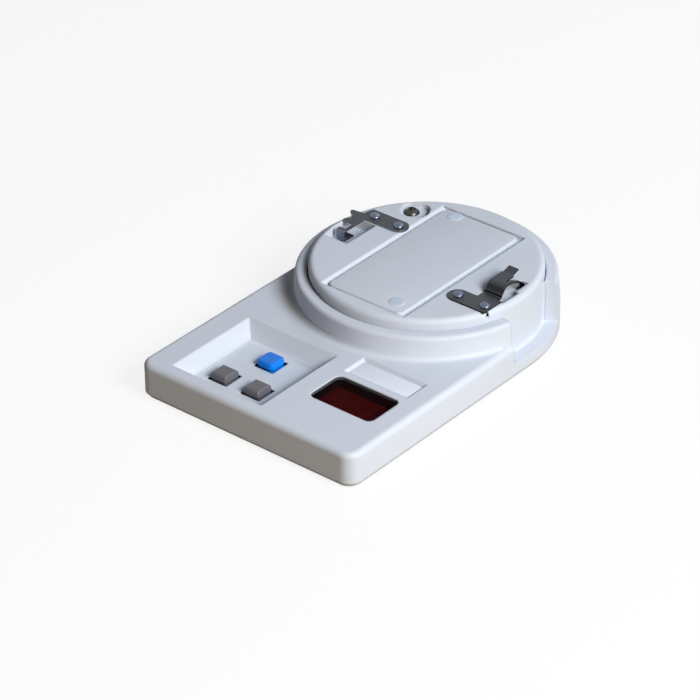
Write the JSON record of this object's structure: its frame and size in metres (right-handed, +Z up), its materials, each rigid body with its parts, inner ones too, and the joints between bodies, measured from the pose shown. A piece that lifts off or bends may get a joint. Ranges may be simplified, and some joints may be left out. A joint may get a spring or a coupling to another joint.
{
  "type": "detector head tester",
  "caption": "Hand-held tester: low casing with a recessed keypad and red display, and a round turret whose disc carries two sprung contacts.",
  "frame": {"origin": "centre of the footprint, on the plane that the rubber feet stand on", "axes": "+X to the right seen from the keypad end, +Y towards the round turret end, +Z up"},
  "size_m": [0.11, 0.17, 0.0368],
  "materials": {
    "shell": "satin moulded plastic, pale cool grey",
    "cover": "satin moulded plastic",
    "clear_plug": "clear glossy plastic",
    "spring_steel": "rolled spring steel",
    "rivet_steel": "bright plated rivet",
    "dark_screw": "dark nickel screw",
    "blue_key": "glossy blue key cap",
    "grey_key": "semi-gloss grey key cap",
    "black_plastic": "moulded black plastic",
    "red_window": "transparent dark red acrylic",
    "digit_face": "display module with unlit segments",
    "label": "bare satin plate",
    "board": "solder-masked circuit board",
    "can_metal": "drawn metal can",
    "capacitor_sleeve": "shrink sleeve",
    "header_plastic": "natural nylon",
    "screw_steel": "zinc-plated steel",
    "battery_wrap": "painted battery can",
    "foot_rubber": "moulded rubber"
  },
  "bodies": {
    "housing": {"top_case": "shell", "bottom_cover": "cover", "head_disc": "shell", "head_lid": "shell", "lid_plugs": "clear_plug", "contact_left": "spring_steel", "contact_right": "spring_steel", "contact_rivets": "rivet_steel", "head_screw": "dark_screw", "switch_bodies": "black_plastic", "display_window": "red_window", "display_shroud": "black_plastic", "digit_modules": "digit_face", "label_plate": "label", "circuit_board": "board", "controller_chip": "black_plastic", "crystal": "can_metal", "capacitors": "capacitor_sleeve", "lead_header": "header_plastic", "board_screws": "screw_steel", "battery": "battery_wrap", "battery_clip": "black_plastic", "case_screws": "screw_steel", "rubber_feet": "foot_rubber"},
    "key_blue_body": {"key_blue": "blue_key", "plunger_blue": "black_plastic"},
    "key_grey_left_body": {"key_grey_left": "grey_key", "plunger_grey_left": "black_plastic"},
    "key_grey_right_body": {"key_grey_right": "grey_key", "plunger_grey_right": "black_plastic"},
    "battery_door_body": {"battery_door": "cover"}
  },
  "joints": [
    {"name": "press_blue", "type": "slide", "parent": "housing", "child": "key_blue_body", "axis": [0, 0, -1], "range_m": [0, 0.0005], "stiffness_N_per_m": 2000, "springref_m": -0.0005},
    {"name": "press_grey_left", "type": "slide", "parent": "housing", "child": "key_grey_left_body", "axis": [0, 0, -1], "range_m": [0, 0.0005], "stiffness_N_per_m": 2000, "springref_m": -0.0005},
    {"name": "press_grey_right", "type": "slide", "parent": "housing", "child": "key_grey_right_body", "axis": [0, 0, -1], "range_m": [0, 0.0005], "stiffness_N_per_m": 2000, "springref_m": -0.0005},
    {"name": "battery_door_slide", "type": "slide", "parent": "housing", "child": "battery_door_body", "axis": [0, 1, 0], "range_m": [0, 0.008]}
  ]
}
